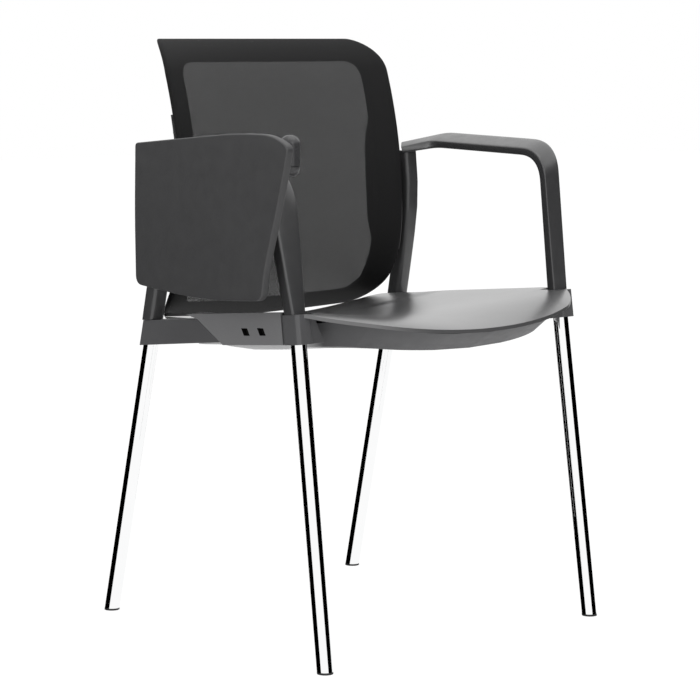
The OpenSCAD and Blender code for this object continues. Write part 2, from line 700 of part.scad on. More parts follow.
// Rear upright with the thin wing that carries the back frame
upright_shares = [0, 0.26, 0.44, 0.62, 0.8, 1];
upright_in_shares = [-0.19, -0.14, -0.1, -0.08, -0.04, 0.08];
upright_fore_shares = [0.02, 0.23, 0.37, 0.47, 0.5, 0.48];
upright_n = 14;
upright_reach = 61;
round_power = 0.55;
wing_t = 5;
wing_gap = 1.2;
wing_edge = 10;
wing_low_z = 520;
wing_high_z = 735;
wing_in = 32;
wing_rows = 12;
wing_cols = 4;
module upright() {
    h = upright_top_z - upright_at[2];
    color(dark) difference() {
        union() {
            loft([for (i = [0:5])
                let (z = upright_at[2] + h * upright_shares[i])
                let (x = upright_at[0] - upright_in_shares[i] * up_w)
                let (y = upright_at[1] - upright_fore_shares[i] * upright_reach)
                [for (j = [0:upright_n - 1])
                    let (a = 360 * j / upright_n)
                    let (px = x + up_w / 2 * sign(cos(a)) * pow(abs(cos(a)), round_power))
                    let (py = y + up_d / 2 * sign(sin(a)) * pow(abs(sin(a)), round_power))
                    [px, py, i == 0 ? rim(py) - cover_top + seam : z]]]);
            wing();
        }
        spigot_bore(false);
        back_screw_places() rotate([-90, 0, 0]) {
            translate([0, 0, -overrun]) cylinder(d = back_screw_d + 2 * fit, h = 2 * overrun);
            cylinder(d = back_head_d + 2 * fit, h = overrun);
        }
    }
}
// Wing: rows from its top down, columns outwards, behind the frame's side band
module wing() {
    rows = [for (r = [0:wing_rows])
        let (t = r / wing_rows, z = mix(wing_high_z, wing_low_z, t))
        let (reach = wing_in * pow(max(0, 1 - pow(abs(2 * t - 1), 3)), 0.5))
        let (inner = back_x - wing_edge - reach, outer = z > upright_top_z - wing_edge ? back_x - wing_edge : upright_at[0])
        [for (c = [0:wing_cols]) let (x = mix(inner, outer, c / wing_cols))
            [x, z, -back_face(x, z) - back_t - wing_gap]]];
    rotate([90, 0, 0]) sheet(rows, wing_t);
}

// Screws that hold the back frame to the wings
back_screw_zs = [575, 710];
back_screw_x = 196;
back_screw_d = 5;
back_head_d = 10;
back_head_h = 2.5;
back_screw_in = 9;
head_sink = 2;
module back_screw_places() for (z = back_screw_zs)
    translate([back_screw_x, back_face(back_screw_x, z) + back_t + wing_gap + wing_t - head_sink, z]) children();
module back_screws() color(steel) placed()
    for (s = [0, 1]) mirror([s, 0, 0]) back_screw_places() rotate([90, 0, 0]) {
        translate([0, 0, -back_head_h]) cylinder(d = back_head_d, h = back_head_h);
        cylinder(d = back_screw_d - 2 * fit, h = wing_t - head_sink + wing_gap + back_screw_in);
    }

// Back frame: a ring that follows the curved back surface
top_corner = [34, 50];
low_corner = [42, 46];
low_bulge = 15;
bulge_h = 110;
inner_corner = [24, 24];
corner_n = 8;
side_n = 10;
// Quarter of an ellipse about a middle, from an angle on, and its mirror image the other way round
function corner(w, z, r, from) =
    [for (j = [0:corner_n]) let (a = from - 90 * j / corner_n) [w + r[0] * cos(a), z + r[1] * sin(a)]];
// Loop with two top and two bottom corners, its straights split evenly
function back_loop(top_w, low_w, top_z, low_z, top_r, low_r) =
    let (p = corner(top_w - top_r[0], top_z - top_r[1], top_r, 90))
    let (q = corner(low_w - low_r[0], low_z + low_r[1], low_r, 0))
    let (half = concat(p, split(p[corner_n], q[0]), q))
    let (other = [for (k = [len(half) - 1:-1:0]) [-half[k][0], half[k][1]]])
    concat(half, split(half[len(half) - 1], other[0]), other, split(other[len(half) - 1], half[0]));
function split(a, b) = [for (j = [1:side_n - 1]) mix(a, b, j / side_n)];
function outer_loop(inset) =
    back_loop(back_x - inset, back_x - inset, back_top_z - inset, back_low_z + inset,
              top_corner, low_corner);
function inner_loop() =
    back_loop(back_x - band_x, back_x - band_low_x, back_top_z - band_z, back_low_z + band_low_z,
              inner_corner, inner_corner);
// The bottom edge bulges down between its corners, as the seat's hollow does
function on_back(p, depth) =
    let (fade = max(0, 1 - (p[1] - back_low_z) / bulge_h))
    let (z = p[1] - low_bulge * fade * (1 - pow(p[0] / back_x, 2)))
    [p[0], back_face(p[0], z) + depth, z];
edge_r = 2.5;
edge_t = 10;
edge_w = 11;
module back_frame() {
    outer = outer_loop(0);
    face = outer_loop(edge_r);
    rear = outer_loop(edge_w);
    inner = inner_loop();
    color(dark) placed() difference() {
        loft([for (i = [0:len(outer) - 1])
            let (m = mix(face[i], inner[i], 0.5), q = inner[i])
            [on_back(outer[i], edge_t - edge_r), on_back(outer[i], edge_r), on_back(face[i], 0),
             on_back(m, 0), on_back(q, 0), on_back(q, edge_t), on_back(m, back_t), on_back(rear[i], back_t),
             on_back(face[i], edge_t)]],
            closed = true);
        for (s = [0, 1]) mirror([s, 0, 0]) back_screw_places()
            translate([0, head_sink - wing_t - wing_gap - back_screw_in - seam, 0]) rotate([-90, 0, 0])
                cylinder(d = back_screw_d, h = overrun);
    }
}

// Stretched mesh over the frame's front
mesh_shares = [0.8, 0.6, 0.4, 0.2];
module back_mesh() {
    face = outer_loop(edge_r);
    inner = inner_loop();
    function mesh_ring(k, depth) = [for (i = [0:len(face) - 1])
        let (p = k == 0 ? face[i] : k == 1 ? mix(face[i], inner[i], 0.5) : inner[i])
        let (share = k > 2 ? mesh_shares[k - 3] : 1)
        on_back([p[0] * share, mix(back_mid_z, p[1], share)], depth)];
    front = [for (k = [6:-1:0]) mesh_ring(k, -fit - mesh_t)];
    rear = [for (k = [0:6]) mesh_ring(k, -fit)];
    color(mesh_grey) placed() loft(concat(front, rear));
}

// Swivel: pin in the arm's boss, washer, barrel with bracket and cap
module pivot_pin() color(steel) right()
    translate([pivot_x, pivot_y, boss_low_z + boss_wall])
        cylinder(d = pivot_d, h = barrel_top_z - boss_low_z - boss_wall - seam);
module pivot_washer() color(dark) right()
    translate([pivot_x, pivot_y, boss_low_z + boss_h + seam]) difference() {
        cylinder(d = barrel_d - 2 * washer_t, h = washer_t);
        translate([0, 0, -overrun]) cylinder(d = pivot_d + 2 * running, h = 2 * overrun);
    }
bracket_h = 7;
bracket_gap = 0.5;
module swivel_barrel() color(dark) right() difference() {
    union() {
        translate([pivot_x, pivot_y, barrel_low_z]) cylinder(d = barrel_d, h = barrel_top_z - barrel_low_z);
        translate([pivot_x, hinge_front_y, flip_z - bracket_h])
            cube([flip_x - knuckle_d / 2 - seam - pivot_x, hinge_l, bracket_h]);
        for (y = [hinge_front_y, hinge_front_y + hinge_l - fixed_knuckle_l]) {
            translate([flip_x, y, flip_z]) rotate([-90, 0, 0]) cylinder(d = knuckle_d, h = fixed_knuckle_l);
            translate([flip_x - knuckle_d / 2 - seam, y, flip_z - knuckle_d / 2])
                cube([knuckle_d / 2 + seam, fixed_knuckle_l, knuckle_d / 2]);
        }
    }
    translate([pivot_x, pivot_y, barrel_low_z - overrun]) cylinder(d = pivot_d + 2 * running, h = 2 * overrun);
    translate([flip_x, hinge_front_y - overrun, flip_z]) rotate([-90, 0, 0])
        cylinder(d = hinge_pin_d + fit, h = hinge_l + 2 * overrun);
}
cap_shares = [[0, 0], [1, 0], [0.99, 0.3], [0.9, 0.64], [0.72, 0.88], [0.45, 1], [0, 1]];
module pivot_cap() color(dark) right() translate([pivot_x, pivot_y, barrel_top_z])
    rotate_extrude() polygon([for (p = cap_shares) [p[0] * barrel_d / 2, p[1] * cap_h]]);

// Flip hinge: pin, leaf with the middle knuckle, screws and the tablet itself
module hinge_pin() color(steel) right()
    translate([flip_x, hinge_front_y, flip_z]) rotate([-90, 0, 0]) cylinder(d = hinge_pin_d, h = hinge_l);
module hinge_leaf() color(steel) right() {
    knuckle_y = hinge_front_y + fixed_knuckle_l + bracket_gap;
    knuckle_l = hinge_l - 2 * fixed_knuckle_l - 2 * bracket_gap;
    difference() {
        union() {
            translate([flip_x, knuckle_y, flip_z]) rotate([-90, 0, 0]) cylinder(d = knuckle_d, h = knuckle_l);
            translate([tablet_in_x - leaf_t, knuckle_y, flip_z - leaf_h]) cube([leaf_t, knuckle_l, leaf_h]);
            translate([tablet_in_x - leaf_t, hinge_front_y, flip_z - leaf_h])
                cube([leaf_t, hinge_l, leaf_h - knuckle_d]);
        }
        translate([flip_x, knuckle_y - overrun, flip_z]) rotate([-90, 0, 0])
            cylinder(d = hinge_pin_d + 2 * running, h = 2 * overrun + knuckle_l);
        hinge_screw_places() translate([0, 0, -overrun]) cylinder(d = hinge_screw_d + 2 * fit, h = 2 * overrun);
    }
}
hinge_screw_d = 3.5;
hinge_screw_l = 8;
hinge_head_h = 1.2;
module hinge_screw_places()
    for (p = [[-0.36, -0.5], [0, -0.8], [0.36, -0.5]])
        translate([tablet_in_x - leaf_t, hinge_front_y + hinge_l / 2 + p[0] * hinge_l, flip_z + p[1] * leaf_h])
            rotate([0, 90, 0]) children();
module hinge_screws() color(steel) right() hinge_screw_places() {
    cylinder(d = hinge_screw_d - fit, h = hinge_screw_l);
    translate([0, 0, -hinge_head_h]) cylinder(d = 2 * hinge_screw_d, h = hinge_head_h);
}

// Outline of the tablet, from its front top corner backwards: place and rounding, as shares
tablet_shares = [
    [0.022, 0.995, 0.05], [0.3, 1, 0.2], [0.985, 0.913, 0.025], [1, 0.48, 0.12],
    [0.995, 0.05, 0.04], [0.53, -0.005, 0.25], [0.13, 0.035, 0.045], [0.115, 0.19, 0.06], [0, 0.7, 0.12]
];
tablet_corners = len(tablet_shares);
tablet_round = 6;
tablet_edge = 2.5;
function tablet_corner(k) =
    let (s = tablet_shares[(k + tablet_corners) % tablet_corners])
    [0, tablet_front_y + s[0] * tablet_l, tablet_top_z - (1 - s[1]) * tablet_h];
tablet_outline = [for (k = [0:tablet_corners - 1])
    each bend(tablet_corner(k - 1), tablet_corner(k), tablet_corner(k + 1),
              tablet_shares[k][2] * tablet_l, tablet_round)];
function tablet_ring(x, inset) =
    let (c = [0, tablet_front_y + tablet_l / 2, tablet_top_z - tablet_h / 2])
    [for (p = tablet_outline) p + inset * unit(c - p) + [x, 0, 0]];
module tablet() color(light_grey) right() difference() {
    loft([
        tablet_ring(tablet_out_x, tablet_edge), tablet_ring(tablet_out_x - tablet_edge / 3, tablet_edge / 3),
        tablet_ring(tablet_out_x - tablet_edge, 0), tablet_ring(tablet_in_x + tablet_edge, 0),
        tablet_ring(tablet_in_x + tablet_edge / 3, tablet_edge / 3), tablet_ring(tablet_in_x, tablet_edge)
    ]);
    hinge_screw_places() cylinder(d = hinge_screw_d, h = hinge_screw_l + seam);
}

right() leg(true);  // leg_front_right
left() leg(true);  // leg_front_left
right() leg(false);  // leg_rear_right
left() leg(false);  // leg_rear_left
right() glide(true);  // glide_front_right
left() glide(true);  // glide_front_left
right() glide(false);  // glide_rear_right
left() glide(false);  // glide_rear_left
right() side_rail();  // side_rail_right
left() side_rail();  // side_rail_left
placed() cross_tube(cross_front_y);  // cross_tube_front
placed() cross_tube(cross_rear_y);  // cross_tube_rear
right() socket_front();  // socket_front_right
left() socket_front();  // socket_front_left
right() socket_rear();  // socket_rear_right
left() socket_rear();  // socket_rear_left
right() side_cover();  // side_cover_right
left() side_cover();  // side_cover_left
seat_cover();
seat_shell();
seat_screws();
spigots();
right() arm(true);  // arm_right
left() arm(false);  // arm_left
right() upright();  // upright_right
left() upright();  // upright_left
back_frame();
back_mesh();
back_screws();
pivot_pin();
pivot_washer();
swivel_barrel();
pivot_cap();
hinge_pin();
hinge_leaf();
hinge_screws();
tablet();
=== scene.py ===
import bpy
import bmesh
import math
from mathutils import Matrix, Vector


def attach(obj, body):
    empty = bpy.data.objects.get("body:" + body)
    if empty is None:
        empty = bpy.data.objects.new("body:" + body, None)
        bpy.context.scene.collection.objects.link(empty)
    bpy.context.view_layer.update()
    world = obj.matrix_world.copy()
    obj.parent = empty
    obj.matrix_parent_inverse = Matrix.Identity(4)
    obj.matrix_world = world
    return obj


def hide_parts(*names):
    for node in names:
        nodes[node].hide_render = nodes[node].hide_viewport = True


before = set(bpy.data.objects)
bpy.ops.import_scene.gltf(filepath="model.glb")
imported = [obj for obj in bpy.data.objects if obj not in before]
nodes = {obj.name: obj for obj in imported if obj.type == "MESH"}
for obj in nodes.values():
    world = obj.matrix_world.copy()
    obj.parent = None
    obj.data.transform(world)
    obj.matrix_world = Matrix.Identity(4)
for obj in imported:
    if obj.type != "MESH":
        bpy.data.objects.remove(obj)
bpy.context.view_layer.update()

scene = bpy.context.scene

# The photographer's place: a long lens a little above the seat, in front of the sitter's
# right arm, looking slightly down.
camera_turn, camera_fall = -41.93, 6.91
camera_data = bpy.data.cameras.new("studio_camera")
camera_data.sensor_width = 36.0
camera_data.lens = 130.06
camera_data.shift_y = -0.0067
camera_data.clip_end = 60
camera = bpy.data.objects.new("studio_camera", camera_data)
camera.location = (-2.4335, -2.71295, 0.8431)
camera.rotation_euler = (math.radians(90 - camera_fall), 0, math.radians(camera_turn))
scene.collection.objects.link(camera)
scene.camera = camera
scene.view_settings.view_transform = "Standard"

# The studio: a white floor with a faint shadow, a white room, and two black boards, far out
# on both sides, that only reflections see. They draw the dark lines down the chromed legs,
# and the floor is hidden from reflections so that the lines reach the glides.
view_turn = Matrix.Rotation(math.radians(camera_turn), 4, "Z")


def stage_board(name, width, height, place):
    mesh = bpy.data.meshes.new(name)
    cut = bmesh.new()
    size = Matrix.Diagonal((width, height, 1, 1))
    bmesh.ops.create_grid(cut, x_segments=1, y_segments=1, size=0.5, matrix=place @ size)
    cut.to_mesh(mesh)
    cut.free()
    board = bpy.data.objects.new(name, mesh)
    scene.collection.objects.link(board)
    return board


def seen_ray(tree):
    """1 for the camera's rays, and for those that gloss and glass send on; 0 for the rest."""
    path = tree.nodes.new("ShaderNodeLightPath")
    seen = path.outputs["Is Camera Ray"]
    for kind in ("Is Glossy Ray", "Is Transmission Ray"):
        either = tree.nodes.new("ShaderNodeMath")
        either.operation = "MAXIMUM"
        tree.links.new(seen, either.inputs[0])
        tree.links.new(path.outputs[kind], either.inputs[1])
        seen = either.outputs[0]
    return seen


floor_size = 24
floor = stage_board("floor", floor_size, floor_size, Matrix.Identity(4))
floor_paint = bpy.data.materials.new("white_sweep")
floor_paint.use_nodes = True
tree = floor_paint.node_tree
tree.nodes.clear()
floor_glow = tree.nodes.new("ShaderNodeEmission")
floor_glow.inputs["Strength"].default_value = 0.9
floor_shadow = tree.nodes.new("ShaderNodeBsdfDiffuse")
floor_shadow.inputs["Color"].default_value = (0.16, 0.16, 0.16, 1)
floor_seen = tree.nodes.new("ShaderNodeAddShader")
floor_bounce = tree.nodes.new("ShaderNodeBsdfDiffuse")
floor_bounce.inputs["Color"].default_value = (0.8, 0.8, 0.8, 1)
floor_mix = tree.nodes.new("ShaderNodeMixShader")
floor_out = tree.nodes.new("ShaderNodeOutputMaterial")
tree.links.new(floor_glow.outputs[0], floor_seen.inputs[0])
tree.links.new(floor_shadow.outputs[0], floor_seen.inputs[1])
tree.links.new(seen_ray(tree), floor_mix.inputs[0])
tree.links.new(floor_bounce.outputs[0], floor_mix.inputs[1])
tree.links.new(floor_seen.outputs[0], floor_mix.inputs[2])
tree.links.new(floor_mix.outputs[0], floor_out.inputs["Surface"])
floor.data.materials.append(floor_paint)
floor.visible_glossy = False

board_black = bpy.data.materials.new("black_board")
board_black.use_nodes = True
board_paint = board_black.node_tree.nodes["Principled BSDF"]
board_paint.inputs["Base Color"].default_value = (0, 0, 0, 1)
board_paint.inputs["Specular IOR Level"].default_value = 0
stand_up = Matrix.Rotation(math.radians(90), 4, "X")
sideways = Matrix.Rotation(math.radians(90), 4, "Z")
for name, across, near, far, low, high in (
        ("flank_board_left", -4.0, -3.1, 12.0, -9.0, 2.0),
        ("flank_board_right", 4.0, -3.6, 12.0, -0.6, 2.0)):
    middle = Matrix.Translation((across, (near + far) / 2, (low + high) / 2))
    board = stage_board(name, far - near, high - low, view_turn @ middle @ sideways @ stand_up)
    board.data.materials.append(board_black)
    board.visible_camera = False
    board.visible_diffuse = False
    board.visible_shadow = False
    board.visible_transmission = False

world = bpy.data.worlds.new("white_room")
scene.world = world
world.use_nodes = True
tree = world.node_tree
room = tree.nodes["Background"]
room.inputs["Color"].default_value = (1, 1, 1, 1)
room_level = tree.nodes.new("ShaderNodeMapRange")
room_level.inputs["To Min"].default_value = 0.8
room_level.inputs["To Max"].default_value = 1.0
tree.links.new(seen_ray(tree), room_level.inputs["Value"])
tree.links.new(room_level.outputs[0], room.inputs["Strength"])

for name, place, aim, size, power in (
        ("lamp_over_seat", (0.3, -0.4, 3.0), (0, 0, 0.5), 2.4, 20),
        ("lamp_at_front", (-0.6, -3.2, 1.9), (0, 0, 0.5), 1.6, 12),
        ("lamp_at_side", (-3.0, 0.2, 1.6), (0, 0, 0.5), 1.6, 14)):
    light = bpy.data.lights.new(name, "AREA")
    light.shape = "RECTANGLE"
    light.size = light.size_y = size
    light.energy = power
    lamp = bpy.data.objects.new(name, light)
    lamp.location = place
    lamp.rotation_euler = (Vector(aim) - Vector(place)).to_track_quat("-Z", "Y").to_euler()
    scene.collection.objects.link(lamp)

# Chromed leg tubes: four round steel tubes, cut to length, polished and chrome plated. They
# lean outwards and are plugged into the sockets of the side frame.


def finish_tree(name):
    finish = bpy.data.materials.new(name)
    finish.use_nodes = True
    return finish, finish.node_tree, finish.node_tree.nodes["Principled BSDF"]


def object_place(tree, scale=(1, 1, 1)):
    place = tree.nodes.new("ShaderNodeTexCoord")
    turn = tree.nodes.new("ShaderNodeMapping")
    turn.inputs["Scale"].default_value = scale
    tree.links.new(place.outputs["Object"], turn.inputs["Vector"])
    return turn.outputs["Vector"]


def cloud(tree, vector, scale, detail=3.0):
    noise = tree.nodes.new("ShaderNodeTexNoise")
    noise.inputs["Scale"].default_value = scale
    noise.inputs["Detail"].default_value = detail
    noise.inputs["Roughness"].default_value = 0.5
    tree.links.new(vector, noise.inputs["Vector"])
    return noise.outputs["Fac"]


def spread(tree, value, low, high, start=0.3, stop=0.7):
    """A value between start and stop, carried over to between low and high."""
    span = tree.nodes.new("ShaderNodeMapRange")
    span.inputs["From Min"].default_value = start
    span.inputs["From Max"].default_value = stop
    span.inputs["To Min"].default_value = low
    span.inputs["To Max"].default_value = high
    tree.links.new(value, span.inputs["Value"])
    return span.outputs[0]


def two_tones(tree, shader, first, second, share):
    """A base colour that drifts between two tones."""
    tint = tree.nodes.new("ShaderNodeMix")
    tint.data_type = "RGBA"
    tint.inputs["A"].default_value = (*first, 1)
    tint.inputs["B"].default_value = (*second, 1)
    tree.links.new(share, tint.inputs["Factor"])
    tree.links.new(tint.outputs["Result"], shader.inputs["Base Color"])


def roughen(tree, shader, value, low, high):
    tree.links.new(spread(tree, value, low, high), shader.inputs["Roughness"])


def bumps(tree, shader, height, strength, distance):
    bump = tree.nodes.new("ShaderNodeBump")
    bump.inputs["Strength"].default_value = strength
    bump.inputs["Distance"].default_value = distance
    tree.links.new(height, bump.inputs["Height"])
    tree.links.new(bump.outputs["Normal"], shader.inputs["Normal"])


def dress(piece, finish):
    if not piece.material_slots:
        piece.data.materials.append(finish)
    for slot in piece.material_slots:
        slot.material = finish


chrome, tree, shader = finish_tree("polished_chrome")
shader.inputs["Metallic"].default_value = 1.0
polish_marks = object_place(tree, (1, 1, 0.08))
two_tones(tree, shader, (0.93, 0.935, 0.94), (0.98, 0.98, 0.98),
          cloud(tree, object_place(tree), 14))
roughen(tree, shader, cloud(tree, polish_marks, 900, 2), 0.015, 0.05)
corners = ("front_right", "rear_right", "front_left", "rear_left")
for corner in corners:
    dress(nodes["leg_" + corner], chrome)

# Glides: moulded black plugs under the tubes, pressed in, with a thin foot scuffed by the
# floor.
glide_black, tree, shader = finish_tree("glide_plastic")
place = object_place(tree)
two_tones(tree, shader, (0.012, 0.012, 0.013), (0.05, 0.05, 0.05),
          spread(tree, cloud(tree, place, 260, 5), 0, 1, 0.5, 0.8))
roughen(tree, shader, cloud(tree, place, 700), 0.4, 0.65)
bumps(tree, shader, cloud(tree, place, 1400), 0.2, 0.0002)
for corner in corners:
    dress(nodes["glide_" + corner], glide_black)

# Cross tubes, spigots, screws, pins and the hinge leaf: zinc plated steel, mostly inside the
# mouldings. The tubes are welded between the side rails, and the seat is screwed to them.
zinc, tree, shader = finish_tree("zinc_plate")
shader.inputs["Metallic"].default_value = 1.0
place = object_place(tree)
two_tones(tree, shader, (0.46, 0.47, 0.49), (0.66, 0.66, 0.67), cloud(tree, place, 120, 4))
roughen(tree, shader, cloud(tree, place, 400), 0.25, 0.45)
bumps(tree, shader, cloud(tree, place, 900), 0.15, 0.0001)
for name in ("cross_tube_front", "cross_tube_rear", "seat_screws", "spigots",
             "pivot_pin", "hinge_pin", "hinge_leaf", "hinge_screws", "back_screws"):
    dress(nodes[name], zinc)

# Sockets: moulded grey sleeves over the tops of the legs. The front ones have a wedge towards
# the seat's apron, and the rear ones meet the side cover at a slanted seam.


def moulded(name, base, light, rough, grain, gloss=0.5, coat=0.0):
    """Injection moulded plastic: even colour with slight flow clouds, and a fine spark grain."""
    finish, tree, shader = finish_tree(name)
    shader.inputs["Specular IOR Level"].default_value = gloss
    shader.inputs["Coat Weight"].default_value = coat
    shader.inputs["Coat Roughness"].default_value = 0.25
    place = object_place(tree)
    two_tones(tree, shader, base, light, spread(tree, cloud(tree, place, 9, 4), 0, 1, 0.25, 0.75))
    roughen(tree, shader, cloud(tree, place, 60, 3), rough - 0.04, rough + 0.05)
    bumps(tree, shader, cloud(tree, place, 1500, 2), grain, 0.0002)
    return finish


def soften(piece, width, segments=3, angle=30):
    """A small round along every edge that is sharper than an angle."""
    soft = piece.modifiers.new("moulded_edge", "BEVEL")
    soft.width = width
    soft.segments = segments
    soft.limit_method = "ANGLE"
    soft.angle_limit = math.radians(angle)
    soft.harden_normals = True


def rounded_copy(name, node, width, finish, body, segments=3):
    """The node's own solid with its moulded edges rounded, in place of the sharp one."""
    mesh = nodes[node].data.copy()
    cut = bmesh.new()
    cut.from_mesh(mesh)
    bmesh.ops.remove_doubles(cut, verts=cut.verts, dist=0.00002)
    bmesh.ops.dissolve_limit(cut, angle_limit=math.radians(1), verts=cut.verts, edges=cut.edges)
    cut.to_mesh(mesh)
    cut.free()
    mesh.name = name
    piece = bpy.data.objects.new(name, mesh)
    scene.collection.objects.link(piece)
    for face in mesh.polygons:
        face.use_smooth = True
    soften(piece, width, segments)
    even = piece.modifiers.new("even_shade", "WEIGHTED_NORMAL")
    even.keep_sharp = True
    dress(piece, finish)
    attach(piece, body)
    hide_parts(node)
    return piece


socket_grey = moulded("socket_plastic", (0.08, 0.08, 0.083), (0.09, 0.09, 0.093), 0.36, 0.1)
for corner in corners:
    rounded_copy("sleeve_" + corner, "socket_" + corner, 0.0012, socket_grey,
                 "chair")

# Side rails and covers: steel tubes, and grey mouldings clipped over them with a thin lip that
# hides the seat's edge. Each cover has two oblong slots for the clips that link chairs into rows.
# The rails and the slot walls are black as painted shade, so that the slots read as dark holes.
cover_grey = moulded("side_cover_plastic", (0.16, 0.16, 0.164), (0.175, 0.175, 0.179), 0.42, 0.1)
# Painted shade: one black finish for the rails and the slot walls, in place of the shade inside
# the slots.
painted_slot_shade_black = moulded("rails_and_slot_shade_black", (0.006, 0.006, 0.006), (0.008, 0.008, 0.008), 0.7, 0.05, 0.1)
slot_middles = ((-0.0702, 0.4463), (-0.106, 0.4497))
slot_reach_y, slot_reach_z = 0.0095, 0.0065
slot_stretch = 1.22


def slot_at(place):
    """The middle of the slot whose wall a place is on, or None."""
    for y, z in slot_middles:
        if abs(place.y - y) < slot_reach_y and abs(place.z - z) < slot_reach_z:
            return y, z
    return None


for side in ("right", "left"):
    skin = rounded_copy("side_skin_" + side, "side_cover_" + side, 0.0008, cover_grey,
                        "chair")
    # Painted shade: the walls of the slots take the black finish as a second material.
    skin.data.materials.append(painted_slot_shade_black)
    for face in skin.data.polygons:
        if slot_at(face.center) and abs(face.normal.x) < 0.6:
            face.material_index = 1
    for v in skin.data.vertices:
        middle = slot_at(v.co)
        if middle:
            v.co.y = middle[0] + slot_stretch * (v.co.y - middle[0])
    # Painted shade: the rails behind the slots take the same black, so the slots read dark.
    dress(nodes["side_rail_" + side], painted_slot_shade_black)

# Seat shell: one moulded plastic shell, hollowed for the sitter, with a lip that falls at the
# front and notches that clear the arm posts. Four bosses under it take the screws.
mm = 0.001
move_x, move_y = 10.5, 19.8507


def at(x, y, z):
    """A place in millimetres from the middle between the feet, in the frame's metres."""
    return Vector((x + move_x, y + move_y, z)) * mm


def sin(degrees):
    return math.sin(math.radians(degrees))


def cos(degrees):
    return math.cos(math.radians(degrees))


def tan(degrees):
    return math.tan(math.radians(degrees))


def mix(a, b, t):
    return a + (b - a) * t


def clamp(t):
    return min(1, max(0, t))


def ease(t):
    """A share that starts and stops gently."""
    t = clamp(t)
    return t * t * (3 - 2 * t)


def thicken(cut, step):
    """Give a sheet its wall by drawing a copy of it out by a step."""
    copy = bmesh.ops.extrude_face_region(cut, geom=cut.faces[:], use_keep_orig=True)["geom"]
    verts = [v for v in copy if isinstance(v, bmesh.types.BMVert)]
    bmesh.ops.translate(cut, verts=verts, vec=step)
    bmesh.ops.recalc_face_normals(cut, faces=cut.faces)


def shade(cut, sharp):
    """Smooth shading, apart from edges sharper than an angle."""
    for face in cut.faces:
        face.smooth = True
    for edge in cut.edges:
        closed = len(edge.link_faces) == 2
        edge.smooth = not (closed and edge.calc_face_angle() > math.radians(sharp))


def piece_of(name, cut, finish, slot, body, *stands_for):
    """The finished mesh as a piece of the chair that rides on a body and stands for a node."""
    mesh = bpy.data.meshes.new(name)
    cut.to_mesh(mesh)
    cut.free()
    piece = bpy.data.objects.new(name, mesh)
    scene.collection.objects.link(piece)
    mesh.materials.append(finish)
    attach(piece, body)
    if stands_for:
        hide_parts(*stands_for)
    return piece


seat_z, seat_fall = 464, 5.35
feet_y, front_feet_x, rear_feet_x = 251, 259.5, 240.5
front_lean, rear_lean, side_lean = 7.7, 13.2, 0.75
cover_x, cover_taper = 267, 17
shell_t, shell_inset = 5, 5.5
seat_front_y, seat_rear_y, front_bulge = 234, 158, 68
seat_dish, lip_from, lip_corner_drop, lip_drop = 19, 120, 1, 42
post_w, post_d, post_foot, notch = 26, 24, 3.7, 6
upright_r, upright_foot, rear_gap = 13, 7.7, 3


def leg_y(feet, lean, z):
    """Where the middle of a leaning leg is at a height, from front to rear."""
    return feet + z * tan(lean) / cos(side_lean)


def rim(y):
    """The height of the seat's edge, which falls to the rear."""
    return seat_z - tan(seat_fall) * y


front_leg_y = leg_y(-feet_y, front_lean, seat_z)
rear_leg_y = leg_y(feet_y, -rear_lean, seat_z)


def out_x(y):
    """The outer face of the side covers, which run together to the rear."""
    return cover_x - cover_taper * (y - front_leg_y) / (rear_leg_y - front_leg_y)


post_x = front_feet_x - rim(front_leg_y) * tan(side_lean)
post_y = leg_y(-feet_y, front_lean, rim(front_leg_y))
upright_low_z = rim(rear_leg_y) - 8
upright_x = rear_feet_x - upright_low_z * tan(side_lean)
upright_y = leg_y(feet_y, -rear_lean, upright_low_z)
seat_rear_x = upright_x - upright_r - rear_gap
corner_in = 14.5
seat_corner_x = out_x(-seat_front_y) - corner_in
front_corner_r, rear_corner_r = 16, 18
corner_from_x, corner_back = 180, 29
wide_y, narrow_y = 42, 66


def seat_half(y):
    """Half the seat's width, which narrows between the uprights."""
    wide = out_x(min(y, wide_y)) - shell_inset
    return mix(wide, seat_rear_x, ease((y - wide_y) / (narrow_y - wide_y)))


def front_edge(x):
    """How far forward the lip's edge is: a bow that falls back at the corners."""
    corner = max(0, abs(x) - corner_from_x) / (seat_corner_x - corner_from_x)
    bow = seat_front_y + front_bulge * (1 - (abs(x) / seat_corner_x) ** 2.5)
    return bow - corner_back * corner ** 1.5


def seat_top(x, y):
    """The height of the seat's top: its hollow, and the lip that rolls down at the front."""
    e = min(1, abs(x) / seat_half(y))
    roll = clamp((-y - lip_from) / (front_edge(x) - lip_from)) ** (2.4 + 3.6 * e * e)
    lip = lip_corner_drop + (lip_drop - lip_corner_drop) * (1 - e * e) ** 0.9
    return rim(y) - (1 - roll) * seat_dish * (1 - e * e) ** 1.3 - roll * lip


post_rear_y = post_y + post_d / 2 + notch
post_front_y = post_y - post_d / 2 - notch
post_inner = post_x - post_w / 2 - shell_inset
seat_rows = [("across", seat_rear_y - rear_corner_r * (1 - cos(a)),
              seat_rear_x - rear_corner_r * (1 - sin(a))) for a in (0, 30, 48, 64, 78, 90)]
seat_rows += [("across", y, seat_half(y)) for y in range(134, -160, -6)]
seat_rows += [("across", post_rear_y + 5 * (1 - sin(a)) * 0.6,
               mix(post_inner, seat_half(post_rear_y), cos(a) ** 0.5)) for a in (20, 50, 70, 80)]
seat_rows += [("across", y, post_inner)
              for y in (post_rear_y, post_y + 6, post_y - 6, post_front_y + 1)]
seat_rows += [("lip", share, 0)
              for share in (0.01, 0.06, 0.13, 0.2, 0.28, 0.36, 0.44, 0.52, 0.6, 0.67, 0.74,
                            0.8, 0.85, 0.9, 0.94, 0.975, 1)]
cut = bmesh.new()
bmesh.ops.create_grid(cut, x_segments=96, y_segments=len(seat_rows) - 1, size=1)
